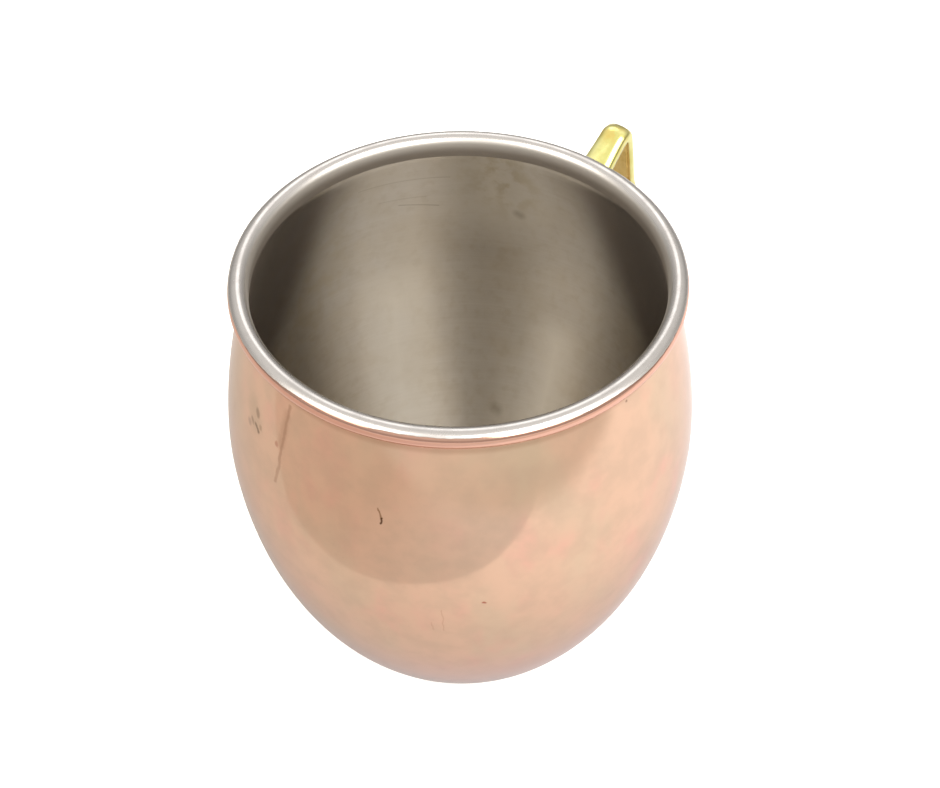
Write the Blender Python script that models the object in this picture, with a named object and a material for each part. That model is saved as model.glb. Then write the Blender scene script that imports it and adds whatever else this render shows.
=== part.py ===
"""Copper mug: a copper body with a rolled rim, a steel liner inside it, and a brazed brass strap handle.

The origin is the centre of the flat base, +Z is up, and the handle stands out along +X.
Everything is in metres.
"""

import math

import bmesh
import bpy
from mathutils import Vector
from mathutils.geometry import interpolate_bezier

MM = 0.001

# Driving dimensions of the bowl
HEIGHT = 92.5 * MM
RIM_RADIUS = 42.5 * MM
BELLY_RADIUS = 46.75 * MM
BELLY_DEPTH = 38.25 * MM
NECK_RADIUS = 40.33 * MM
NECK_DEPTH = 3.4 * MM
SHOULDER_POWER = 1.7
BOWL_SEMI_AXIS = 70.6 * MM
BASE_CORNER_RADIUS = 5.0 * MM

# Sheet metal
COPPER = 0.7 * MM
STEEL = 0.4 * MM
FIT_GAP = 0.3 * MM

# Rolled rim: the copper turns outwards into a tube, and the liner's lip folds over its top
LIP_RADIUS = 1.9 * MM
LIP_END_ANGLE = math.radians(56)
ROLL_RADIUS = 1.5 * MM
ROLL_DROP = 0.35 * MM
ROLL_END_ANGLE = math.radians(-105)

# Handle strap: flat towards the bowl, crowned on its outer face
STRAP_WIDTH = 5.9 * MM
STRAP_EDGE = 0.9 * MM
STRAP_CROWN = 1.9 * MM
STRAP_SQUARENESS = 0.86
STRAP_BEVEL = 0.25 * MM
FOOT_WIDTH = 9.0 * MM
FOOT_LENGTH = 18.0 * MM
FOOT_FLARE_POWER = 1.5

# Braze metal under each end of the strap
BRAZE_THICKNESS = 0.8 * MM
BRAZE_HALF_WIDTH = 6.2 * MM
BRAZE_HALF_HEIGHT = 3.4 * MM
# (share of the reach, share of the thickness) of each ring, from the face on the bowl to the dome's top
BRAZE_RINGS = ((0.5, 0.0), (0.96, 0.0), (1.0, 0.2), (0.9, 0.65), (0.7, 0.95), (0.4, 1.0))
UPPER_BRAZE_DEPTH = 8.6 * MM
LOWER_BRAZE_DEPTH = 70.6 * MM

# Mesh density
TURN_STEPS = 48
TURN_MERGE = 0.01 * MM
SHARP_ANGLE = math.radians(35)
SHOULDER_STEPS = 6
BOWL_STEPS = 7
CORNER_STEPS = 3
ROLL_STEPS = 9
ROLL_INSIDE_STEPS = 7
LIP_STEPS = 5
CROWN_STEPS = 8
STRAP_STEPS = (5, 6, 3, 8, 10)
BRAZE_STEPS = 20

ROLL_LEVEL = HEIGHT - LIP_RADIUS
LIP_CENTRE = (RIM_RADIUS - LIP_RADIUS, ROLL_LEVEL)
ROLL_CENTRE = (RIM_RADIUS - ROLL_RADIUS, ROLL_LEVEL - ROLL_DROP)

# The strap's flat face, as (distance from the axis, depth below the roll's centre) in millimetres:
# a straight arm that climbs away from the bowl, a tight thumb bend, a straight leg and a wide return.
# Each entry holds the two middle control points and the end of one Bezier curve.
STRAP_START = (39.0, 12.19)
STRAP_CURVES = (
    ((44.3, 9.05), (49.5, 5.98), (54.78, 2.86)),
    ((55.30, 2.55), (55.73, 2.74), (55.88, 3.32)),
    ((56.60, 6.50), (57.45, 10.00), (58.00, 13.50)),
    ((59.20, 21.00), (67.00, 27.50), (67.00, 42.50)),
    ((67.00, 56.00), (57.00, 65.00), (39.00, 71.00)),
)


def clear_scene():
    for obj in list(bpy.data.objects):
        bpy.data.objects.remove(obj, do_unlink=True)


def metal(name, colour, roughness):
    material = bpy.data.materials.new(name)
    material.use_nodes = True
    shader = material.node_tree.nodes["Principled BSDF"]
    shader.inputs["Base Color"].default_value = (*colour, 1.0)
    shader.inputs["Metallic"].default_value = 1.0
    shader.inputs["Roughness"].default_value = roughness
    material.diffuse_color = (*colour, 1.0)
    return material


def add_object(name, mesh, material=None):
    obj = bpy.data.objects.new(name, mesh)
    bpy.context.scene.collection.objects.link(obj)
    if material:
        mesh.materials.append(material)
    return obj


def smooth(mesh):
    mesh.shade_smooth()
    mesh.set_sharp_from_angle(angle=SHARP_ANGLE)


def arc(centre, radius, start, end, steps):
    """Points on a circle in the (radius, height) plane, angles counted from straight outwards."""
    angles = [start + (end - start) * i / steps for i in range(steps + 1)]
    return [(centre[0] + radius * math.cos(a), centre[1] + radius * math.sin(a)) for a in angles]


def bowl_radius(depth):
    """Outer radius of the copper at a depth below the roll's centre."""
    if depth < BELLY_DEPTH:
        share = (BELLY_DEPTH - depth) / (BELLY_DEPTH - NECK_DEPTH)
        return BELLY_RADIUS - (BELLY_RADIUS - NECK_RADIUS) * share**SHOULDER_POWER
    return BELLY_RADIUS * math.sqrt(1 - ((depth - BELLY_DEPTH) / BOWL_SEMI_AXIS) ** 2)


def bowl_lean(depth):
    """Angle of the copper's outer face from vertical, positive where it turns in towards the base."""
    step = 0.01 * MM
    return math.atan2(bowl_radius(depth - step) - bowl_radius(depth + step), 2 * step)


def corner_depth():
    """Depth where the bowl's curve meets the rounded corner of the base, found by halving."""
    high, low = BELLY_DEPTH, ROLL_LEVEL
    for _ in range(40):
        middle = (high + low) / 2
        drop = BASE_CORNER_RADIUS * (1 - math.sin(bowl_lean(middle)))
        if middle + drop < ROLL_LEVEL:
            high = middle
        else:
            low = middle
    return middle


def bowl_outline():
    """Outer face of the copper from the neck down to the centre of the base."""
    corner_top = corner_depth()
    depths = [
        NECK_DEPTH + (BELLY_DEPTH - NECK_DEPTH) * i / SHOULDER_STEPS for i in range(SHOULDER_STEPS)
    ]
    depths += [
        BELLY_DEPTH + (corner_top - BELLY_DEPTH) * math.sin(math.pi / 2 * i / BOWL_STEPS)
        for i in range(BOWL_STEPS)
    ]
    wall = [(bowl_radius(depth), ROLL_LEVEL - depth) for depth in depths]
    lean = bowl_lean(corner_top)
    centre = (bowl_radius(corner_top) - BASE_CORNER_RADIUS * math.cos(lean), BASE_CORNER_RADIUS)
    corner = arc(centre, BASE_CORNER_RADIUS, -lean, -math.pi / 2, CORNER_STEPS)
    return wall + corner + [(0.0, 0.0)]


def inset(outline, distance):
    """The outline moved towards the inside of the bowl; a negative distance moves it outwards."""
    moved = []
    for i, (radius, height) in enumerate(outline[:-1]):
        before, after = outline[max(i - 1, 0)], outline[i + 1]
        along = Vector((after[0] - before[0], after[1] - before[1])).normalized()
        moved.append((radius + along.y * distance, height - along.x * distance))
    # The last point with a radius ends the flat base, so it moves straight up or down.
    moved[-1] = (moved[-1][0], outline[-2][1] + distance)
    return moved + [(0.0, outline[-1][1] + distance)]


def turned(name, profile, material=None):
    """A solid turned from a profile that starts on the axis, runs over the rim and ends on the axis."""
    mesh = bpy.data.meshes.new(name)
    edges = [(i, i + 1) for i in range(len(profile) - 1)]
    mesh.from_pydata([(radius, 0.0, height) for radius, height in profile], edges, [])
    obj = add_object(name, mesh, material)
    screw = obj.modifiers.new("turn", "SCREW")
    screw.axis = "Z"
    screw.steps = TURN_STEPS
    screw.render_steps = TURN_STEPS
    screw.use_merge_vertices = True
    screw.merge_threshold = TURN_MERGE
    screw.use_smooth_shade = True
    return obj


def copper_body(material):
    """The bowl with its edge rolled outwards, which leaves a narrow slit under the roll."""
    outer = bowl_outline()
    inner = inset(outer, COPPER)
    roll = arc(ROLL_CENTRE, ROLL_RADIUS, math.pi, ROLL_END_ANGLE, ROLL_STEPS)
    hollow = arc(ROLL_CENTRE, ROLL_RADIUS - COPPER, ROLL_END_ANGLE, math.pi, ROLL_INSIDE_STEPS)
    return turned("copper_body", inner[::-1] + roll + hollow + outer, material)


def steel_liner(material):
    """The cup inside the copper; its lip folds over the top of the roll."""
    outer = bowl_outline()
    back = inset(outer, COPPER + FIT_GAP)
    front = inset(outer, COPPER + FIT_GAP + STEEL)
    lip = arc(LIP_CENTRE, LIP_RADIUS, math.pi, LIP_END_ANGLE, LIP_STEPS)
    under = arc(LIP_CENTRE, LIP_RADIUS - STEEL, LIP_END_ANGLE, math.pi, LIP_STEPS)
    return turned("steel_liner", front[::-1] + lip + under + back, material)


def strap_section(half_width):
    """The strap's outline across its run: (sideways, outwards) pairs round the section.

    The crown is a superellipse, so its shoulders are fuller than those of a half ellipse.
    """
    crown = []
    for i in range(CROWN_STEPS + 1):
        across = math.cos(math.pi * i / CROWN_STEPS)
        rise = math.sin(math.pi * i / CROWN_STEPS)
        side = math.copysign(abs(across) ** STRAP_SQUARENESS, across)
        crown.append((half_width * side, STRAP_EDGE + STRAP_CROWN * rise**STRAP_SQUARENESS))
    foot = half_width - STRAP_BEVEL
    return [(-half_width, STRAP_BEVEL), (-foot, 0.0), (foot, 0.0), (half_width, STRAP_BEVEL)] + crown


def strap_path():
    """Points along the strap's flat face, in the XZ plane."""
    start = Vector((STRAP_START[0], 0.0, -STRAP_START[1])) * MM
    points = [start]
    for curve, steps in zip(STRAP_CURVES, STRAP_STEPS):
        first, second, end = (Vector((x, 0.0, -depth)) * MM for x, depth in curve)
        points += interpolate_bezier(points[-1], first, second, end, steps + 1)[1:]
    return [point + Vector((0.0, 0.0, ROLL_LEVEL)) for point in points]


def strap_half_width(run, length):
    """Half the strap's width at a run along it: it spreads into a foot at both ends."""
    nearest = min(run, length - run)
    spread = max(0.0, 1 - nearest / FOOT_LENGTH) ** FOOT_FLARE_POWER
    return (STRAP_WIDTH + (FOOT_WIDTH - STRAP_WIDTH) * spread) / 2


def brass_handle(material, clearance):
    path = strap_path()
    runs = [0.0]
    for before, after in zip(path, path[1:]):
        runs.append(runs[-1] + (after - before).length)
    shape = bmesh.new()
    rings = []
    for i, (point, run) in enumerate(zip(path, runs)):
        along = (path[min(i + 1, len(path) - 1)] - path[max(i - 1, 0)]).normalized()
        outwards = Vector((-along.z, 0.0, along.x))
        section = strap_section(strap_half_width(run, runs[-1]))
        places = [point + Vector((0.0, side, 0.0)) + outwards * out for side, out in section]
        rings.append([shape.verts.new(place) for place in places])
    for before, after in zip(rings, rings[1:]):
        for i, corner in enumerate(before):
            beside = (i + 1) % len(before)
            shape.faces.new((corner, before[beside], after[beside], after[i]))
    shape.faces.new(rings[0][::-1])
    shape.faces.new(rings[-1])
    bmesh.ops.recalc_face_normals(shape, faces=shape.faces)
    mesh = bpy.data.meshes.new("brass_handle")
    shape.to_mesh(mesh)
    shape.free()
    smooth(mesh)
    handle = add_object("brass_handle", mesh, material)
    cope = handle.modifiers.new("cope_ends_to_bowl", "BOOLEAN")
    cope.operation = "DIFFERENCE"
    cope.object = clearance
    return handle


def handle_clearance():
    """Guide solid: the bowl plus the braze and its gaps, which trims the ends of the strap."""
    grown = inset(bowl_outline(), -(2 * FIT_GAP + BRAZE_THICKNESS))
    top = (0.0, grown[0][1])
    guide = turned("handle_clearance", [top] + grown)
    guide.hide_render = True
    guide.display_type = "WIRE"
    return guide


def braze_joint(name, depth, material):
    """A low dome of filler metal that lies on the bowl under one end of the strap."""
    wall_radius = bowl_radius(depth)
    lean = bowl_lean(depth)
    outwards = Vector((math.cos(lean), 0.0, -math.sin(lean)))
    upwards = Vector((math.sin(lean), 0.0, math.cos(lean)))
    centre = Vector((wall_radius, 0.0, ROLL_LEVEL - depth))

    def on_wall(reach, turn, lift):
        side = BRAZE_HALF_WIDTH * reach * math.cos(turn)
        rise = BRAZE_HALF_HEIGHT * reach * math.sin(turn)
        level = centre + upwards * rise
        radius = bowl_radius(ROLL_LEVEL - level.z) + lift / outwards.x
        angle = side / wall_radius
        return (radius * math.cos(angle), radius * math.sin(angle), level.z)

    shape = bmesh.new()
    turns = [2 * math.pi * i / BRAZE_STEPS for i in range(BRAZE_STEPS)]
    rings = []
    for reach, share in BRAZE_RINGS:
        lift = FIT_GAP + BRAZE_THICKNESS * share
        rings.append([shape.verts.new(on_wall(reach, turn, lift)) for turn in turns])
    for before, after in zip(rings, rings[1:]):
        for i, corner in enumerate(before):
            beside = (i + 1) % BRAZE_STEPS
            shape.faces.new((corner, before[beside], after[beside], after[i]))
    for ring, lift in ((rings[0], FIT_GAP), (rings[-1], FIT_GAP + BRAZE_THICKNESS)):
        middle = shape.verts.new(on_wall(0.0, 0.0, lift))
        for i, corner in enumerate(ring):
            shape.faces.new((corner, ring[(i + 1) % BRAZE_STEPS], middle))
    bmesh.ops.recalc_face_normals(shape, faces=shape.faces)
    mesh = bpy.data.meshes.new(name)
    shape.to_mesh(mesh)
    shape.free()
    smooth(mesh)
    return add_object(name, mesh, material)


clear_scene()
copper_body(metal("polished_copper", (0.72, 0.42, 0.28), 0.22))
steel_liner(metal("brushed_steel", (0.60, 0.58, 0.54), 0.32))
brass_handle(metal("polished_brass", (0.80, 0.62, 0.20), 0.18), handle_clearance())
braze = metal("silver_braze", (0.72, 0.62, 0.40), 0.35)
braze_joint("upper_braze_joint", UPPER_BRAZE_DEPTH, braze)
braze_joint("lower_braze_joint", LOWER_BRAZE_DEPTH, braze)
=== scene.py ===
"""Copper mug, as it looks: the fine surfaces, finishes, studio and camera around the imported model.

The origin is the centre of the base's resting face, +Z is up and the handle stands out along +X.
Everything is in metres.
"""

import math

import bmesh
import bpy
from mathutils import Matrix, Vector
from mathutils.geometry import interpolate_bezier
from mathutils.noise import noise


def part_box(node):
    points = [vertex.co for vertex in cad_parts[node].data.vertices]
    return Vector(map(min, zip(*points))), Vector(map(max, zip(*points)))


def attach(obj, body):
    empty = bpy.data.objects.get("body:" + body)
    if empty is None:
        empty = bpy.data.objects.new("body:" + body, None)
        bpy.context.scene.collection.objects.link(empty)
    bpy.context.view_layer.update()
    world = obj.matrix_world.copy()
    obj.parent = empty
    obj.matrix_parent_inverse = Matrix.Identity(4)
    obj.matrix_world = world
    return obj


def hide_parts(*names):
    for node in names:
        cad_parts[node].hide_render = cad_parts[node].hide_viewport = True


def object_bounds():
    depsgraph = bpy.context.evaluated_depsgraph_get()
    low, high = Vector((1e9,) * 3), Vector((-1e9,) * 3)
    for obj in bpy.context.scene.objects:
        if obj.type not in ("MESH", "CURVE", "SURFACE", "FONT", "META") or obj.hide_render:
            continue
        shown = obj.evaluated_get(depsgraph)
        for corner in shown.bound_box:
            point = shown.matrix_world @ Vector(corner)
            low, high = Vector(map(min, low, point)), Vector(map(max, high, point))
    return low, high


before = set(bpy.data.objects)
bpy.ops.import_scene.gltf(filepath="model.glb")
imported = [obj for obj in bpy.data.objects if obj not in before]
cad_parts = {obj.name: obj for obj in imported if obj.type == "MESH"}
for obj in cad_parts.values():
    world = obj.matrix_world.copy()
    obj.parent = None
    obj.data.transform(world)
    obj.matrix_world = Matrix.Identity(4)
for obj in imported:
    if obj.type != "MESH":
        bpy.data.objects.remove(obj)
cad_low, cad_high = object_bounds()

# ---------------------------------------------------------------------------------------------
# Camera: it looks down into the mug from in front, with the handle behind and to the right.
# It stands six rim radii from the middle of the mouth, and its picture is tipped a little.
# ---------------------------------------------------------------------------------------------
MM = 0.001
bead_radius = 1.9 * MM
rim_level = cad_high.z - bead_radius    # height of the middle of the rolled rim
handle_turn = math.radians(37.0)        # from straight behind the mug to the handle, seen from here
camera_rise = math.radians(41.74)
camera_distance = 255.0 * MM
camera_aim = Vector((1.15, -1.56, 57.91)) * MM
camera_tip = math.radians(-0.60)


def round_the_mug(turn, rise, distance):
    """A point round the mouth's centre: turn runs from the camera to its right, rise from level."""
    heading = math.pi + handle_turn + turn
    reach = math.cos(rise) * distance
    return Vector((reach * math.cos(heading), reach * math.sin(heading),
                   rim_level + math.sin(rise) * distance))


lens = bpy.data.cameras.new("camera")
lens.sensor_width = 36.0
lens.lens = 52.74
camera = bpy.data.objects.new("camera", lens)
bpy.context.scene.collection.objects.link(camera)
camera.location = round_the_mug(0.0, camera_rise, camera_distance)
facing = (camera_aim - camera.location).to_track_quat("-Z", "Y")
camera.rotation_mode = "QUATERNION"
camera.rotation_quaternion = facing @ Matrix.Rotation(camera_tip, 3, "Z").to_quaternion()
bpy.context.scene.camera = camera
bpy.context.scene.view_settings.view_transform = "Standard"

# ---------------------------------------------------------------------------------------------
# Studio table: a sheet of matt white paper that glows with painted light. A board and a round-edged card,
# both painted with light and shade, lie just over it, and only reflections see them: they give the
# polished copper the studio that it mirrors.
# ---------------------------------------------------------------------------------------------


def linear(colour):
    """An sRGB hex colour as linear red, green, blue and alpha."""
    shares = [int(colour[i:i + 2], 16) / 255 for i in (1, 3, 5)]
    return (*[s / 12.92 if s <= 0.04045 else ((s + 0.055) / 1.055) ** 2.4 for s in shares], 1.0)


def add(tree, kind, sockets=None, out=0, **settings):
    """Adds one shader node with its settings, gives its sockets values or links, returns one output."""
    made = tree.nodes.new("ShaderNode" + kind)
    for name, value in settings.items():
        setattr(made, name, value)
    for key, value in (sockets or {}).items():
        if isinstance(value, bpy.types.NodeSocket):
            tree.links.new(value, made.inputs[key])
        else:
            made.inputs[key].default_value = value
    return made.outputs[out] if made.outputs else made


def empty_material(name):
    """A named material with an empty node tree, and that tree."""
    material = bpy.data.materials.new(name)
    material.use_nodes = True
    material.node_tree.nodes.clear()
    return material, material.node_tree


def matt_paper(name, colour, painted_light_glow):
    """Uncoated paper: flat white with no gloss, with an even glow of painted light added to it that fills
    soft shadows.
    """
    material, tree = empty_material(name)
    add(tree, "OutputMaterial", {"Surface": add(tree, "AddShader", {
        0: add(tree, "BsdfDiffuse", {"Color": linear(colour), "Roughness": 1.0}),
        1: add(tree, "Emission", {"Color": linear("#FFFFFF"), "Strength": painted_light_glow}),
    })})
    return material


right = Vector((math.sin(handle_turn), -math.cos(handle_turn), 0.0))
away = Vector((math.cos(handle_turn), math.sin(handle_turn), 0.0))


def stage_card(name, corners, level, material):
    """A flat card; its corners are (right, away) of the mug, as the camera sees it."""
    mesh = bpy.data.meshes.new(name)
    points = [right * x + away * y + Vector((0.0, 0.0, level)) for x, y in corners]
    mesh.from_pydata(points, [], [tuple(range(len(points)))])
    mesh.materials.append(material)
    made = bpy.data.objects.new(name, mesh)
    bpy.context.scene.collection.objects.link(made)
    return made


def shade_painted_board(name, painted_shade_left_tint, right_tint, painted_shade_front_tint):
    """Matt board with no gloss, with painted light and shade: its tint is darker at the left, lighter at
    the right, and darker again far out at the front right.
    """
    material, tree = empty_material(name)
    place = add(tree, "TexCoord", out="Object")

    def along(direction, start, end):
        """0 to 1 between two distances from the centre of the mug, in mm along a level direction."""
        reach = add(tree, "VectorMath", {0: place, 1: direction}, out="Value",
                    operation="DOT_PRODUCT")
        return add(tree, "MapRange", {0: reach, 1: start * MM, 2: end * MM},
                   interpolation_type="SMOOTHSTEP")

    front_right = 0.394 * right - 0.919 * away
    # Painted light and shade: the tint runs from a shaded left to a lit right, then darkens again at the
    # front right.
    colour = add(tree, "Mix", {0: along(right, -130, 50), 6: linear(painted_shade_left_tint),
                               7: linear(right_tint)}, out=2, data_type="RGBA")
    colour = add(tree, "Mix", {0: along(front_right, 160, 215), 6: colour,
                               7: linear(painted_shade_front_tint)}, out=2, data_type="RGBA")
    # Painted shade: the board is painted darker close round the mug, as if the mug kept light off it.
    reach = add(tree, "VectorMath", {0: place}, out="Value", operation="LENGTH")
    painted_shade_near_mug = add(tree, "MapRange", {0: reach, 1: 38 * MM, 2: 95 * MM, 3: 0.86, 4: 1.0},
                   interpolation_type="SMOOTHSTEP")
    colour = add(tree, "VectorMath", {0: colour, "Scale": painted_shade_near_mug}, operation="SCALE")
    add(tree, "OutputMaterial", {
        "Surface": add(tree, "BsdfDiffuse", {"Color": colour, "Roughness": 1.0}),
    })
    return material


table_half = 2.5
square = [(-table_half, -table_half), (table_half, -table_half),
          (table_half, table_half), (-table_half, table_half)]
stage_card("studio_table", square, 0.0, matt_paper("white_paper", "#F4F3F1", painted_light_glow=0.3))
card_corners = [
    (-0.600, 0.120), (-0.153, -0.028), (-0.113, -0.038), (-0.080, -0.060), (-0.029, -0.097),
    (0.026, -0.125), (0.083, -0.163), (0.120, -0.200), (0.160, -0.248), (0.600, -0.800),
    (-0.600, -0.800),
]
board = shade_painted_board("shade_painted_board", "#B7B4B1", "#D8D7D9", "#BFBBB9")
rounded = shade_painted_board("tinted_card", "#B1A9A4", "#C3C4C7", "#BAB8B6")
for card in (stage_card("reflected_sheet", square, 0.2 * MM, board),
             stage_card("reflected_card", card_corners, 0.4 * MM, rounded)):
    card.visible_camera = False
    card.visible_diffuse = False
    card.visible_shadow = False

# ---------------------------------------------------------------------------------------------
# Studio light: wide soft panels at the right and the left, a small one behind, a pale ceiling
# overhead and dimmer walls. The panels light the room but the camera doesn't see them.
# ---------------------------------------------------------------------------------------------


panel_distance = 0.70


def soft_panel(name, turn, rise, size, brightness, colour):
    """An even rectangular light that faces the mug's mouth; angles in degrees, and radiance."""
    light = bpy.data.lights.new(name, "AREA")
    light.shape = "RECTANGLE"
    light.size, light.size_y = size
    light.energy = brightness * math.pi * size[0] * size[1]
    light.color = linear(colour)[:3]
    made = bpy.data.objects.new(name, light)
    bpy.context.scene.collection.objects.link(made)
    made.location = round_the_mug(math.radians(turn), math.radians(rise), panel_distance)
    to_mouth = Vector((0.0, 0.0, rim_level)) - made.location
    made.rotation_mode = "QUATERNION"
    made.rotation_quaternion = to_mouth.to_track_quat("-Z", "Y")
    made.visible_camera = False


soft_panel("panel_front_right", turn=35, rise=45, size=(0.44, 0.56), brightness=6.4, colour="#FFFDFA")
soft_panel("panel_far_right", turn=68, rise=44, size=(0.20, 0.54), brightness=3.8, colour="#FFFDFA")
soft_panel("panel_left", turn=-60, rise=46, size=(0.42, 0.52), brightness=4.2, colour="#FFFAF2")
soft_panel("panel_behind", turn=180, rise=43, size=(0.28, 0.30), brightness=1.4, colour="#FFFFFF")

world = bpy.data.worlds.new("studio_room")
bpy.context.scene.world = world
world.use_nodes = True
room = world.node_tree
room.nodes.clear()
upwards = add(room, "SeparateXYZ", {0: add(room, "TexCoord", out="Generated")}, out="Z")
ceiling = add(room, "MapRange", {0: upwards, 1: 0.05, 2: 0.85, 3: 0.52, 4: 1.35},
              interpolation_type="SMOOTHSTEP")
add(room, "OutputWorld", {"Surface": add(room, "MixShader", {
    0: add(room, "LightPath", out="Is Camera Ray"),
    1: add(room, "Background", {"Color": linear("#FFFCF7"), "Strength": ceiling}),
    2: add(room, "Background", {"Color": linear("#FFFFFF"), "Strength": 1.0}),
})})

# ---------------------------------------------------------------------------------------------
# Copper bowl: one sheet of copper 0.7 mm thick, spun to a barrel on a lathe and polished, its
# edge rolled outwards. Light tarnish, handling scratches and a few stains lie on the polish.
# ---------------------------------------------------------------------------------------------
belly_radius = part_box("copper_body")[1].y
belly_level = rim_level - 38.25 * MM
neck_radius = 40.33 * MM
neck_level = rim_level - 3.4 * MM
shoulder_power = 1.7
bowl_semi_axis = 70.6 * MM
base_corner = 5.0 * MM
copper_thickness = 0.7 * MM
bead_centre = (40.6 * MM, rim_level)    # of the rolled rim's section, as (radius, height)
lip_step = 0.12 * MM                    # the steel lip's edge stands this far proud of the copper
roll_end = -106.0                       # on the bead, in degrees, where the rolled edge stops below
unroll_radius = 46 * MM                 # marks are placed on the wall as if rolled flat from here
turn_steps = 480


def wall_radius(level):
    """Outer radius of the copper at a height above the table, from the neck to the base corner."""
    if level > belly_level:
        share = (level - belly_level) / (neck_level - belly_level)
        return belly_radius - (belly_radius - neck_radius) * share**shoulder_power
    return belly_radius * math.sqrt(1 - ((belly_level - level) / bowl_semi_axis) ** 2)


def wall_lean(level):
    """Angle of the outer face from vertical, positive where it turns in towards the base."""
    step = 0.01 * MM
    return math.atan2(wall_radius(level + step) - wall_radius(level - step), 2 * step)


def corner_top():
    """Height where the wall's curve meets the rounded corner of the base, found by halving."""
    low, high = 0.0, belly_level
    for _ in range(40):
        middle = (low + high) / 2
        if middle > base_corner * (1 - math.sin(wall_lean(middle))):
            high = middle
        else:
            low = middle
    return middle


def arc(centre, radius, start, end, steps):
    """Points on a circle in the (radius, height) plane, angles in degrees from straight outwards."""
    angles = [math.radians(start + (end - start) * i / steps) for i in range(steps + 1)]
    return [(centre[0] + radius * math.cos(a), centre[1] + radius * math.sin(a)) for a in angles]


def bowl_outline(offset, wall_steps, corner_steps, floor_steps):
    """The bowl as (radius, height) from the neck down, offset inwards from the copper's outside."""
    top = corner_top()
    lean = wall_lean(top)
    centre = (wall_radius(top) - base_corner * math.cos(lean), base_corner)
    outline = []
    for i in range(wall_steps):
        level = neck_level + (top - neck_level) * i / wall_steps
        tilt = wall_lean(level)
        outline.append((wall_radius(level) - offset * math.cos(tilt),
                        level + offset * math.sin(tilt)))
    outline += arc(centre, base_corner - offset, -math.degrees(lean), -90.0, corner_steps)
    flat = centre[0]
    return outline + [(flat * (1 - i / floor_steps), offset) for i in range(1, floor_steps)]


def finished(name, shape, crease, materials):
    """The drawn shape as an object, smooth except along edges that bend by more than crease degrees."""
    bmesh.ops.recalc_face_normals(shape, faces=shape.faces)
    mesh = bpy.data.meshes.new(name)
    shape.to_mesh(mesh)
    shape.free()
    mesh.shade_smooth()
    mesh.set_sharp_from_angle(angle=math.radians(crease))
    for material in materials:
        mesh.materials.append(material)
    made = bpy.data.objects.new(name, mesh)
    bpy.context.scene.collection.objects.link(made)
    return made


def spun(name, outline_at, materials):
    """A turned sheet; outline_at(turn) runs from near the axis round the sheet and back to it."""
    shape = bmesh.new()
    columns = []
    for step in range(turn_steps):
        turn = 2 * math.pi * step / turn_steps
        columns.append([shape.verts.new((radius * math.cos(turn), radius * math.sin(turn), level))
                        for radius, level in outline_at(turn)])
    ends = [shape.verts.new((0.0, 0.0, columns[0][i].co.z)) for i in (0, -1)]
    for step, column in enumerate(columns):
        beside = columns[(step + 1) % turn_steps]
        for i in range(len(column) - 1):
            shape.faces.new((column[i], column[i + 1], beside[i + 1], beside[i]))
        shape.faces.new((ends[0], column[0], beside[0]))
        shape.faces.new((column[-1], ends[1], beside[-1]))
    return finished(name, shape, crease=40, materials=materials)


def wander(turn, level, size, amount, radius=44.0 * MM):
    """A smooth deviation that repeats exactly round the bowl; it changes over about one size."""
    place = Vector((radius * math.cos(turn), radius * math.sin(turn), level)) / size
    return amount * noise(place)


def spinning_waves(turn, level):
    """How far the spun wall stands off its true curve: nothing at the stiff rim and base corner."""
    under_rim = min(1.0, max(0.0, (neck_level - level) / (8 * MM)))
    over_base = min(1.0, max(0.0, level / (10 * MM)))
    waves = wander(turn, level, 17 * MM, 0.035 * MM) + wander(turn, level, 6 * MM, 0.006 * MM)
    return under_rim * over_base * waves


def lip_end(turn):
    """Angle on the bead, in degrees from straight outwards, where the steel lip's edge lies."""
    towards_front = math.cos(turn - math.pi - handle_turn)
    uneven = wander(turn, 0.0, 13 * MM, 6.0) + wander(turn, 0.0, 1.5 * MM, 3.0)
    return 35.0 + 11.0 * towards_front + uneven


def on_the_wall(tree, place):
    """Places on the wall as (distance round to the camera's right from its middle line, height)."""
    across = add(tree, "VectorMath", {0: place, 1: right}, out="Value", operation="DOT_PRODUCT")
    ahead = add(tree, "VectorMath", {0: place, 1: -away}, out="Value", operation="DOT_PRODUCT")
    turn = add(tree, "Math", {0: across, 1: ahead}, operation="ARCTAN2")
    round_wall = add(tree, "Math", {0: turn, 1: unroll_radius}, operation="MULTIPLY")
    height = add(tree, "SeparateXYZ", {0: place}, out="Z")
    return add(tree, "CombineXYZ", {0: round_wall, 1: height})


def scratch(tree, wall_place, points, width, soft=0.5):
    """A mask along a line through (turn in degrees, height in mm) points; width is in mm."""
    spots = [Vector((math.radians(turn) * unroll_radius, level * MM, 0.0)) for turn, level in points]
    mask = None
    for start, end in zip(spots, spots[1:]):
        run = end - start
        reach = add(tree, "VectorMath", {0: wall_place, 1: start}, operation="SUBTRACT")
        share = add(tree, "VectorMath", {0: reach, 1: run / run.length_squared}, out="Value",
                    operation="DOT_PRODUCT")
        share = add(tree, "Math", {0: share, 1: 1.0}, operation="MULTIPLY", use_clamp=True)
        nearest = add(tree, "VectorMath", {0: run, "Scale": share}, operation="SCALE")
        gap = add(tree, "VectorMath", {0: reach, 1: nearest}, out="Value", operation="DISTANCE")
        part = add(tree, "MapRange", {0: gap, 1: width * MM * (1 - soft) / 2,
                                      2: width * MM * (1 + soft) / 2, 3: 1.0, 4: 0.0})
        mask = part if mask is None else add(tree, "Math", {0: mask, 1: part}, operation="MAXIMUM")
    return mask


def cloud(tree, place, size, start, end, detail=3.0):
    """A smooth mask that drifts from 0 to 1 between patches about this many mm across."""
    value = add(tree, "TexNoise", {"Vector": place, "Scale": 1 / (size * MM), "Detail": detail,
                                   "Roughness": 0.55}, out=0)
    return add(tree, "MapRange", {0: value, 1: start, 2: end}, interpolation_type="SMOOTHSTEP")


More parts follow.
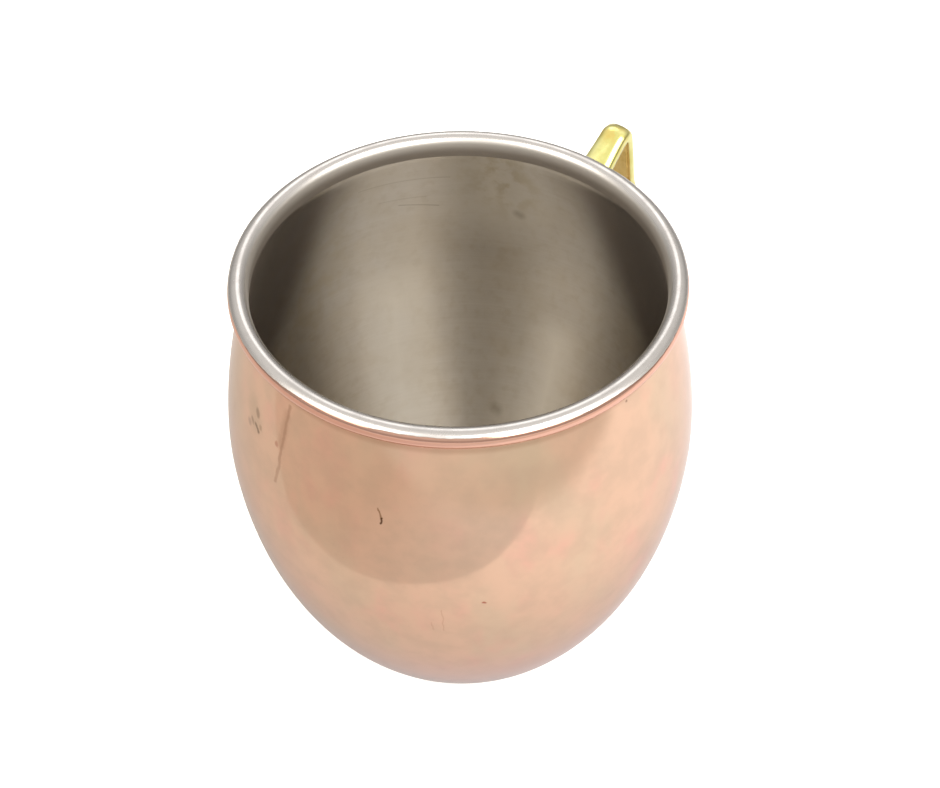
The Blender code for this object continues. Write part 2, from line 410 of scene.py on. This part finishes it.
def blend(tree, mask, under, over, amount=1.0):
    """A colour laid over another where the mask allows."""
    strength = add(tree, "Math", {0: mask, 1: amount}, operation="MULTIPLY")
    return add(tree, "Mix", {0: strength, 6: under, 7: over}, out=2, data_type="RGBA")


def marked(tree, colour, wall_place, marks, soft=0.5, within=None):
    """A colour with marks laid over it, each a line of points, a width in mm, a tint and a strength."""
    for points, width, tint, strength in marks:
        mask = scratch(tree, wall_place, points, width, soft)
        if within is not None:
            mask = add(tree, "Math", {0: mask, 1: within}, operation="MULTIPLY")
        colour = blend(tree, mask, colour, linear(tint), strength)
    return colour


def drawn_lines(tree, place, sizes, detail=2.0, roughness=0.5):
    """Noise drawn out into fine lines; sizes are the millimetres it changes over along x, y and z."""
    scales = [1 / (size * MM) for size in sizes]
    place = add(tree, "VectorMath", {0: place, 1: scales}, operation="MULTIPLY")
    return add(tree, "TexNoise", {"Vector": place, "Scale": 1.0, "Detail": detail,
                                  "Roughness": roughness}, out=0)


def polished_copper():
    """Spun and polished copper: a clear pink-orange mirror dulled by olive and rosy tarnish clouds."""
    material, tree = empty_material("polished_copper")
    place = add(tree, "TexCoord", out="Object")
    height = add(tree, "SeparateXYZ", {0: place}, out="Z")
    warp = add(tree, "TexNoise", {"Vector": place, "Scale": 1 / (1.6 * MM), "Detail": 2.0}, out=1)
    warp = add(tree, "VectorMath", {0: warp, 1: (0.5, 0.5, 0.5)}, operation="SUBTRACT")
    warp = add(tree, "VectorMath", {0: warp, "Scale": 0.9 * MM}, operation="SCALE")
    wall_place = on_the_wall(tree, add(tree, "VectorMath", {0: place, 1: warp}, operation="ADD"))
    drift = add(tree, "VectorMath", {0: place, 1: (1.0, 1.0, 0.6)}, operation="MULTIPLY")
    olive = cloud(tree, drift, 16, 0.42, 0.68)
    rosy = cloud(tree, add(tree, "VectorMath", {0: drift, 1: (0.2, 0.1, 0.3)}, operation="ADD"),
                 11, 0.50, 0.72)
    mottle = cloud(tree, place, 5.0, 0.35, 0.70)
    colour = blend(tree, olive, linear("#D7B59C"), linear("#CBB69C"), 0.8)
    colour = blend(tree, rosy, colour, linear("#DDA998"), 0.55)
    colour = blend(tree, mottle, colour, linear("#C4AA93"), 0.5)
    # Painted shade: the copper is painted darker and more violet towards the base, from 36 mm down to 8 mm
    # above the table.
    painted_shade_towards_base = add(tree, "MapRange", {0: height, 1: 36 * MM, 2: 8 * MM},
                 interpolation_type="SMOOTHSTEP")
    colour = blend(tree, painted_shade_towards_base, colour, linear("#C2A4A0"), 0.7)
    # Painted highlight: the roll is painted brighter and rosier.
    painted_roll_highlight = add(tree, "MapRange", {0: height, 1: neck_level, 2: neck_level + 0.4 * MM})
    colour = blend(tree, painted_roll_highlight, colour, linear("#DDAC9A"), 0.8)
    # Painted shade: the groove under the roll is painted darker.
    painted_groove_shade = add(tree, "Math", {0: height, 1: neck_level - 0.1 * MM}, operation="SUBTRACT")
    painted_groove_shade = add(tree, "Math", {0: painted_groove_shade}, operation="ABSOLUTE")
    painted_groove_shade = add(tree, "MapRange", {0: painted_groove_shade, 1: 0.05 * MM, 2: 1.1 * MM, 3: 1.0, 4: 0.0},
                 interpolation_type="SMOOTHSTEP")
    colour = blend(tree, painted_groove_shade, colour, linear("#A48068"), 0.4)
    seam = add(tree, "Attribute", out="Fac", attribute_name="past_steel_edge")
    seam = add(tree, "MapRange", {0: seam, 1: 0.08 * MM, 2: 0.34 * MM, 3: 1.0, 4: 0.0})
    colour = blend(tree, seam, colour, linear("#8C7360"), 0.4)
    # Streaks and spots of darker tarnish, and one small curved stain that a drip left.
    colour = marked(tree, colour, wall_place, (
        (((-46.2, 85.6), (-46.9, 77.8), (-47.7, 71.6), (-48.5, 67.5)), 0.70, "#94705A", 0.42),
        (((-46.8, 83.4), (-47.5, 76.8)), 1.9, "#B08E76", 0.4),
        (((-19.6, 73.5), (-18.9, 72.6), (-18.4, 71.6)), 0.30, "#7A5636", 0.7),
        (((-18.4, 71.6), (-18.6, 70.4)), 0.42, "#4E3320", 0.9),
        (((-60.6, 78.2), (-58.4, 75.4)), 4.4, "#B9A389", 0.45),
        (((-58.3, 78.3), (-57.8, 77.9)), 1.2, "#7E6A56", 0.6),
        (((-60.3, 75.4), (-59.7, 75.0)), 0.9, "#8A725E", 0.6),
        (((-58.2, 75.3), (-57.5, 74.9), (-57.0, 74.4)), 0.8, "#6B5644", 0.75),
        (((-61.6, 74.3), (-61.2, 74.0)), 1.3, "#94806E", 0.5),
        (((-56.2, 76.0), (-56.0, 75.5)), 0.7, "#94785F", 0.5),
        (((-49.3, 76.2), (-49.1, 75.9)), 0.8, "#A9735F", 0.6),
        (((4.3, 52.1), (4.8, 51.9)), 0.45, "#9B4F40", 0.8),
        (((-5.1, 49.8), (-4.8, 42.7)), 0.20, "#B08870", 0.45),
        (((-7.5, 45.3), (-7.2, 42.6)), 0.20, "#B08870", 0.4),
        (((44.6, 86.2), (44.8, 86.1)), 0.40, "#6C5242", 0.7),
    ))
    dull = add(tree, "Math", {0: olive, 1: mottle}, operation="ADD")
    roughness = add(tree, "MapRange", {0: dull, 1: 0.0, 2: 2.0, 3: 0.075, 4: 0.15})
    # Polishing lines run round the bowl; they are drawn four times coarser than the cloth left them.
    lines = drawn_lines(tree, place, (16.667, 16.667, 0.4))
    ripples = add(tree, "TexNoise", {"Vector": place, "Scale": 1 / (5 * MM), "Detail": 1.0}, out=0)
    relief = add(tree, "Math", {0: ripples, 1: 12.0, 2: lines}, operation="MULTIPLY_ADD")
    add(tree, "OutputMaterial", {"Surface": add(tree, "BsdfPrincipled", {
        "Base Color": colour,
        "Metallic": 1.0,
        "Roughness": roughness,
        "Specular Tint": (0.93, 0.88, 0.87, 1.0),
        "Normal": add(tree, "Bump", {"Height": relief, "Strength": 1.0, "Distance": 0.0006 * MM}),
    })})
    return material


outer_wall = bowl_outline(0.0, wall_steps=64, corner_steps=10, floor_steps=5)
inner_wall = bowl_outline(copper_thickness, wall_steps=24, corner_steps=5, floor_steps=3)
roll_radius = bead_radius - lip_step
roll = arc(bead_centre, roll_radius, roll_end, 180, 34)
roll_hollow = arc(bead_centre, roll_radius - copper_thickness, 180, roll_end, 16)


def copper_outline(turn):
    """The sheet from under the base up its outer face, round the roll and back, and down inside."""
    outside = [(radius + spinning_waves(turn, level), level) for radius, level in outer_wall]
    inside = [(radius + spinning_waves(turn, level), level) for radius, level in inner_wall]
    return outside[::-1] + roll_hollow + roll + inside


copper_bowl = spun("copper_bowl", copper_outline, [polished_copper()])
# Distance below the steel lip's edge, round the outside of the roll, for the dirt along that seam.
far_from_seam = 5 * MM
past_steel_edge = copper_bowl.data.attributes.new("past_steel_edge", "FLOAT", "POINT")
for vertex, entry in zip(copper_bowl.data.vertices, past_steel_edge.data):
    out, up = math.hypot(vertex.co.x, vertex.co.y) - bead_centre[0], vertex.co.z - bead_centre[1]
    on_roll = abs(math.hypot(out, up) - roll_radius) < 0.02 * MM
    past = lip_end(math.atan2(vertex.co.y, vertex.co.x)) - math.degrees(math.atan2(up, out))
    entry.value = math.radians(past) * bead_radius if on_roll else far_from_seam
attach(copper_bowl, "root")
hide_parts("copper_body")

# ---------------------------------------------------------------------------------------------
# Steel liner: a cup of stainless steel 0.4 mm thick, pressed into the copper. Its wall is
# brushed round and round, and its lip is folded over the copper roll and burnished down bright.
# ---------------------------------------------------------------------------------------------
steel_inside_offset = 1.4 * MM          # both offsets are from the copper's outer face
steel_outside_offset = 0.75 * MM        # close behind the copper, so that no gap shows between them
lip_thickness = 0.10 * MM               # burnished thin where it lies on the roll


def brushed_steel():
    """Stainless steel brushed round the bowl: satin, with light drawn into bands up the wall."""
    material, tree = empty_material("brushed_stainless_steel")
    place = add(tree, "TexCoord", out="Object")
    wall_place = on_the_wall(tree, place)
    # Brush lines are drawn about three times coarser than the grit that made them.
    lines = drawn_lines(tree, place, (22.222, 22.222, 0.45455), detail=3.0, roughness=0.65)
    bands = drawn_lines(tree, place, (62.5, 62.5, 2.381))
    streaks = add(tree, "Math", {0: bands, 1: 0.6, 2: lines}, operation="MULTIPLY_ADD")
    streaks = add(tree, "MapRange", {0: streaks, 1: 0.45, 2: 1.15})
    clouds = cloud(tree, place, 14, 0.40, 0.68)
    colour = blend(tree, streaks, linear("#BBB3A7"), linear("#C4BDB2"))
    colour = blend(tree, clouds, colour, linear("#B9AE9C"), 0.5)
    colour = blend(tree, cloud(tree, place, 2.5, 0.45, 0.75), colour, linear("#B2A796"), 0.45)
    # Painted light: broad patches of the wall are painted brighter, high on the far wall and lower down on
    # both sides of it. The first patch crosses the line at the back where the rolled-out wall begins and
    # ends, so it is given once for each side of it.
    colour = marked(tree, colour, wall_place, (
        (((170, 84), (169, 74)), 16.0, "#EAE3D6", 0.8),
        (((-190, 84), (-191, 74)), 16.0, "#EAE3D6", 0.8),
        (((-161, 44), (-159, 14)), 12.0, "#E2DBCE", 0.4),
        (((149, 34), (150, 14)), 9.0, "#E2DBCE", 0.65),
    ), soft=1.0)
    # Yellowed by drinks, in broken patches.
    colour = marked(tree, colour, wall_place, (
        (((-118, 86), (-122, 60)), 30.0, "#B5A583", 0.45),
        (((167, 84), (165, 80)), 14.0, "#B2A27E", 0.5),
    ), soft=1.0, within=cloud(tree, place, 4, 0.42, 0.66))
    # Two water spots and three scuffs from stirring.
    colour = marked(tree, colour, wall_place, (
        (((162.5, 70.6), (161.5, 70.1)), 1.7, "#7C705F", 0.38),
        (((167.5, 13.9), (166.0, 13.4)), 2.2, "#8B8070", 0.5),
        (((-163, 73.8), (-174.7, 72.0)), 0.30, "#857A69", 0.5),
        (((-157, 76.0), (-171, 75.4)), 0.22, "#9A8F7E", 0.4),
        (((-150, 82.0), (-178, 81.2)), 0.25, "#8F8471", 0.35),
    ), soft=0.8)
    # Painted shade: where the wall is seen at a grazing angle its colour is painted darker, standing in
    # for the light that the valleys between the brush lines would swallow.
    painted_grazing_shade = add(tree, "LayerWeight", {"Blend": 0.5}, out="Facing")
    painted_grazing_shade = add(tree, "MapRange", {0: painted_grazing_shade, 1: 0.46, 2: 0.60}, interpolation_type="SMOOTHSTEP")
    colour = blend(tree, painted_grazing_shade, colour, linear("#7E746C"), 0.85)
    add(tree, "OutputMaterial", {"Surface": add(tree, "BsdfPrincipled", {
        "Base Color": colour,
        "Metallic": 1.0,
        "Roughness": 0.35,
        "Anisotropic": 1.0,
        "Anisotropic Rotation": 0.25,
        "Tangent": add(tree, "Tangent", direction_type="RADIAL", axis="Z"),
        "Normal": add(tree, "Bump", {"Height": streaks, "Strength": 1.0, "Distance": 0.0012 * MM}),
    }, distribution="GGX")})
    return material


def burnished_steel():
    """Stainless steel burnished by the folding roller: satin bright on top, dull in the inner flank."""
    material, tree = empty_material("burnished_stainless_steel")
    place = add(tree, "TexCoord", out="Object")
    height = add(tree, "SeparateXYZ", {0: place}, out="Z")
    patches = cloud(tree, place, 5, 0.35, 0.70)
    colour = blend(tree, patches, linear("#B6B2AF"), linear("#A8A4A1"), 0.6)
    flank = add(tree, "MapRange", {0: height, 1: rim_level + 1.7 * MM, 2: rim_level + 0.6 * MM},
                interpolation_type="SMOOTHSTEP")
    colour = blend(tree, flank, colour, linear("#D2CCC4"))
    # Painted shade: the lip is painted darker low on its inner face, where it turns down into the wall.
    crease = add(tree, "MapRange", {0: height, 1: rim_level + 0.2 * MM, 2: rim_level - 1.5 * MM},
                 interpolation_type="SMOOTHSTEP")
    colour = blend(tree, crease, colour, linear("#A0958A"), 0.7)
    # The roller left the flank duller than the top of the lip.
    roughness = add(tree, "MapRange", {0: patches, 3: 0.22, 4: 0.30})
    roughness = add(tree, "Mix", {0: flank, 2: roughness, 3: 0.55}, data_type="FLOAT")
    ripples = add(tree, "TexNoise", {"Vector": place, "Scale": 1 / (2.2 * MM), "Detail": 0.0}, out=0)
    add(tree, "OutputMaterial", {"Surface": add(tree, "BsdfPrincipled", {
        "Base Color": colour,
        "Metallic": 1.0,
        "Roughness": roughness,
        "Normal": add(tree, "Bump", {"Height": ripples, "Strength": 1.0, "Distance": 0.004 * MM}),
    })})
    return material


steel_inside = bowl_outline(steel_inside_offset, wall_steps=64, corner_steps=8, floor_steps=12)
steel_outside = bowl_outline(steel_outside_offset, wall_steps=24, corner_steps=5, floor_steps=3)
flank_angle = 150.0                     # on the bead, in degrees, where the inner flank meets it
neck_inside = Vector((*steel_inside[0], 0.0))
flank_top = Vector((*arc(bead_centre, bead_radius, flank_angle, flank_angle, 1)[0], 0.0))
# Between the neck and the bead the inner face is one Bezier curve, almost upright at both ends.
lip_flank = [tuple(point.xy) for point in interpolate_bezier(
    neck_inside, neck_inside + Vector((-0.48, 1.70, 0.0)) * MM,
    flank_top + Vector((-0.35, -0.61, 0.0)) * MM, flank_top, 14)][1:]


def steel_outline(turn):
    """The sheet from the middle of its floor up its inner face, over the bead, and back behind."""
    end = lip_end(turn)
    over = lip_flank + arc(bead_centre, bead_radius, flank_angle, end + 2.0, 24)[1:]
    edge = arc(bead_centre, bead_radius - lip_thickness / 2, end, end, 1)[:1]      # its rounded edge
    under = arc(bead_centre, bead_radius - lip_thickness, end + 0.5, 180, 12)
    return steel_inside[::-1] + over + edge + under + steel_outside


steel_cup = spun("steel_liner_cup", steel_outline, [brushed_steel(), burnished_steel()])
lip_start_level = neck_level + 0.9 * MM     # brushed below, burnished above
for face in steel_cup.data.polygons:
    face.material_index = int(face.center.z > lip_start_level)
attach(steel_cup, "root")
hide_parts("steel_liner")

# ---------------------------------------------------------------------------------------------
# Handle: a strap of cast brass, flat towards the bowl and crowned outside, bent to a thumb rest
# at the top. Its ends are coped to the bowl and brazed on, and the whole strap is polished.
# ---------------------------------------------------------------------------------------------
strap_width = 5.9 * MM
strap_edge = 0.9 * MM                   # height of its straight sides
strap_crown = 1.9 * MM                  # height of the crown over them
strap_squareness = 0.86                 # 1 gives an elliptical crown, less a squarer one
strap_bevel = 0.25 * MM
foot_width = 9.0 * MM
foot_length = 18.0 * MM
foot_flare_power = 1.5
cope_depth = 0.2 * MM                   # how far the ends sink into the copper's skin
cope_length = 12 * MM                   # the rings change from coped to square over this run
strap_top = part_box("brass_handle")[1].z
# The strap's flat face in the XZ plane, in millimetres: (distance from the axis, depth below the
# bead's centre). Each entry holds the middle control points and the end of one Bezier curve.
strap_start = (39.0, 12.19)
strap_curves = (
    ((44.3, 9.05), (49.5, 5.98), (54.78, 2.86)),
    ((55.30, 2.55), (55.73, 2.74), (55.88, 3.32)),
    ((56.60, 6.50), (57.45, 10.00), (58.00, 13.50)),
    ((59.20, 21.00), (67.00, 27.50), (67.00, 42.50)),
    ((67.00, 56.00), (57.00, 65.00), (39.00, 71.00)),
)


def strap_section(half_width, crown_steps=36):
    """(sideways, outwards) pairs round the strap: a flat inner face, soft corners, and the crown."""
    pairs = [(-half_width, strap_bevel)]
    for i in range(7):
        side = -1 + i / 3
        pairs.append((side * (half_width - strap_bevel), 0.0))
    pairs.append((half_width, strap_bevel))
    for i in range(crown_steps + 1):
        across, rise = math.cos(math.pi * i / crown_steps), math.sin(math.pi * i / crown_steps)
        side = math.copysign(abs(across) ** strap_squareness, across)
        crown = strap_crown * max(0.0, rise) ** strap_squareness
        pairs.append((half_width * side, strap_edge + crown))
    return pairs


class StrapPath:
    """The strap's flat face as a line that gives a point and its outwards direction at any run."""

    def __init__(self, steps=60):
        start = Vector((strap_start[0], 0.0, -strap_start[1])) * MM
        points = [start]
        for curve in strap_curves:
            first, second, end = (Vector((x, 0.0, -depth)) * MM for x, depth in curve)
            points += interpolate_bezier(points[-1], first, second, end, steps + 1)[1:]
        self.points = [point + Vector((0.0, 0.0, rim_level)) for point in points]
        self.runs = [0.0]
        for before, after in zip(self.points, self.points[1:]):
            self.runs.append(self.runs[-1] + (after - before).length)
        self.length = self.runs[-1]

    def at(self, run):
        """The point this far along the strap."""
        index = next((i for i, r in enumerate(self.runs) if r >= run), len(self.runs) - 1)
        index = max(1, index)
        share = (run - self.runs[index - 1]) / (self.runs[index] - self.runs[index - 1])
        return self.points[index - 1].lerp(self.points[index], share)

    def outwards(self, run, reach=0.35 * MM):
        """The direction from the flat face to the crown at this run."""
        along = self.at(min(run + reach, self.length)) - self.at(max(run - reach, 0.0))
        along.normalize()
        return Vector((-along.z, 0.0, along.x))


def strap_half_width(run, length):
    """Half the strap's width at a run: even between its feet, and flared towards both ends."""
    nearest = min(run, length - run)
    spread = max(0.0, 1 - nearest / foot_length) ** foot_flare_power
    return (strap_width + (foot_width - strap_width) * spread) / 2


def polished_brass():
    """Yellow brass polished on a mop and handled since: lemon in the light, deep gold in its shade."""
    material, tree = empty_material("polished_brass")
    place = add(tree, "TexCoord", out="Object")
    height = add(tree, "SeparateXYZ", {0: place}, out="Z")
    # The mop ran along the strap; its lines are drawn about five times coarser than it left them.
    lines = drawn_lines(tree, place, (11.111, 0.41667, 11.111), detail=3.0)
    pale = cloud(tree, place, 5.0, 0.40, 0.64)
    warm = cloud(tree, add(tree, "VectorMath", {0: place, 1: (0.1, 0.2, 0.3)}, operation="ADD"),
                 3.0, 0.50, 0.72)
    colour = blend(tree, pale, linear("#CFCA7E"), linear("#DEDA98"))
    colour = blend(tree, warm, colour, linear("#CDB765"), 0.5)
    # Painted reflection: the thumb bend is painted a warm old gold, in patches.
    painted_bend_reflection = add(tree, "MapRange", {0: height, 1: strap_top - 2.6 * MM, 2: strap_top - 0.4 * MM},
               interpolation_type="SMOOTHSTEP")
    painted_bend_reflection = add(tree, "Math", {0: painted_bend_reflection, 1: cloud(tree, place, 1.8, 0.38, 0.60)}, operation="MULTIPLY")
    colour = blend(tree, painted_bend_reflection, colour, linear("#D4AE58"), 0.45)
    dull = add(tree, "Math", {0: lines, 1: pale}, operation="ADD")
    ripples = add(tree, "TexNoise", {"Vector": place, "Scale": 1 / (3 * MM), "Detail": 1.0}, out=0)
    relief = add(tree, "Math", {0: ripples, 1: 6.0, 2: lines}, operation="MULTIPLY_ADD")
    add(tree, "OutputMaterial", {"Surface": add(tree, "BsdfPrincipled", {
        "Base Color": colour,
        "Metallic": 1.0,
        "Roughness": add(tree, "MapRange", {0: dull, 1: 0.3, 2: 1.6, 3: 0.15, 4: 0.27}),
        "Normal": add(tree, "Bump", {"Height": relief, "Strength": 1.0, "Distance": 0.006 * MM}),
    })})
    return material


def strap(name, materials, ring_steps=220, cope_rings=14):
    """The strap as rings of its section from foot to foot, each line of it cut where it meets the bowl."""
    path = StrapPath()

    def place(run, index):
        side, out = strap_section(strap_half_width(run, path.length))[index]
        return path.at(run) + Vector((0.0, side, 0.0)) + path.outwards(run) * out

    def inside_bowl(point):
        return math.hypot(point.x, point.y) < wall_radius(min(point.z, neck_level)) - cope_depth

    def cope_run(index, outer, inner):
        """Run at which this line along the strap meets the bowl, found by halving between two runs."""
        for _ in range(30):
            middle = (outer + inner) / 2
            if inside_bowl(place(middle, index)):
                inner = middle
            else:
                outer = middle
        return outer

    shape = bmesh.new()
    count = len(strap_section(strap_width / 2))
    near, far = cope_length, path.length - cope_length
    rings = [[] for _ in range(ring_steps + 1)]
    for index in range(count):
        first = cope_run(index, near, 0.0)
        last = cope_run(index, far, path.length)
        for i in range(ring_steps + 1):
            if i < cope_rings:
                run = first + (near - first) * i / cope_rings
            elif i > ring_steps - cope_rings:
                run = last - (last - far) * (ring_steps - i) / cope_rings
            else:
                run = near + (far - near) * (i - cope_rings) / (ring_steps - 2 * cope_rings)
            rings[i].append(shape.verts.new(place(run, index)))
    for before, after in zip(rings, rings[1:]):
        for i in range(count):
            beside = (i + 1) % count
            shape.faces.new((before[i], before[beside], after[beside], after[i]))
    shape.faces.new(rings[0][::-1])
    shape.faces.new(rings[-1])
    return finished(name, shape, crease=50, materials=materials)


brass_strap = strap("brass_strap", [polished_brass()])
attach(brass_strap, "root")
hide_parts("brass_handle")

# ---------------------------------------------------------------------------------------------
# Braze joints: a pool of filler metal that ran round each end of the strap and froze. They were
# wiped and brushed but not polished, so they stay duller than the brass and a little lumpy.
# ---------------------------------------------------------------------------------------------


def braze_filler():
    """Brazing alloy brushed by hand: pale gold, satin, with a grainy frozen surface."""
    material, tree = empty_material("brushed_braze_filler")
    place = add(tree, "TexCoord", out="Object")
    # Grains of frozen alloy, about 0.3 mm across, and the fine scratches of a wire brush.
    grain = add(tree, "TexVoronoi", {"Vector": place, "Scale": 1 / (0.35 * MM)}, out=0,
                feature="SMOOTH_F1")
    brushed = drawn_lines(tree, place, (1.4286, 1.4286, 0.19231))
    stained = cloud(tree, place, 1.6, 0.46, 0.70)
    colour = blend(tree, grain, linear("#CDBB8A"), linear("#D9C898"), 0.8)
    colour = blend(tree, stained, colour, linear("#A98A5E"), 0.6)
    relief = add(tree, "Math", {0: grain, 1: 1.5, 2: brushed}, operation="MULTIPLY_ADD")
    add(tree, "OutputMaterial", {"Surface": add(tree, "BsdfPrincipled", {
        "Base Color": colour,
        "Metallic": 1.0,
        "Roughness": add(tree, "MapRange", {0: stained, 1: 0.0, 2: 1.0, 3: 0.30, 4: 0.46}),
        "Normal": add(tree, "Bump", {"Height": relief, "Strength": 1.0, "Distance": 0.02 * MM}),
    })})
    return material


filler = braze_filler()
pool_thickness = 0.95 * MM
pool_margin = 0.05 * MM                 # kept inside the CAD solid's outline
root_depth = 0.25 * MM                  # how far the filler has bitten into the copper's skin
edge_sink = 0.05 * MM                   # the pool's edge runs this far under the copper's surface


def braze_pool(name, node, ring_steps=22, back_steps=5, round_steps=96):
    """A low ragged dome on the bowl, centred on its CAD solid, with a back inside the copper."""
    low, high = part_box(node)
    half_width = (high.y - low.y) / 2 - pool_margin
    half_height = (high.z - low.z) / 2 - pool_margin
    centre_level = (high.z + low.z) / 2
    shape = bmesh.new()
    layers = [(ring / ring_steps, True) for ring in range(ring_steps + 1)]
    layers += [(ring / back_steps, False) for ring in range(back_steps, -1, -1)]
    rings = []
    for reach, on_show in layers:
        row = []
        for i in range(round_steps if reach else 1):
            turn = 2 * math.pi * i / round_steps
            ragged = 0.95 + 0.05 * noise(Vector((math.cos(turn), math.sin(turn), 0.0)) * 2.2)
            side = half_width * reach * ragged * math.cos(turn)
            level = centre_level + half_height * reach * ragged * math.sin(turn)
            lumps = 0.05 * MM * noise(Vector((side, level, 0.0)) / (1.2 * MM)) * (1 - reach)
            dome = pool_thickness * (1 - reach**2.6) ** 0.75 - edge_sink + lumps
            lift = dome if on_show else -root_depth
            radius = wall_radius(min(level, neck_level)) + lift
            angle = side / radius
            row.append(shape.verts.new((radius * math.cos(angle), radius * math.sin(angle), level)))
        rings.append(row)
    for before, after in zip(rings, rings[1:]):
        for i in range(round_steps):
            beside = (i + 1) % round_steps
            if len(before) == 1:
                shape.faces.new((before[0], after[i], after[beside]))
            elif len(after) == 1:
                shape.faces.new((before[i], after[0], before[beside]))
            else:
                shape.faces.new((before[i], after[i], after[beside], before[beside]))
    made = finished(name, shape, crease=60, materials=[filler])
    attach(made, "root")
    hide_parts(node)


braze_pool("upper_braze_pool", "upper_braze_joint")
braze_pool("lower_braze_pool", "lower_braze_joint")
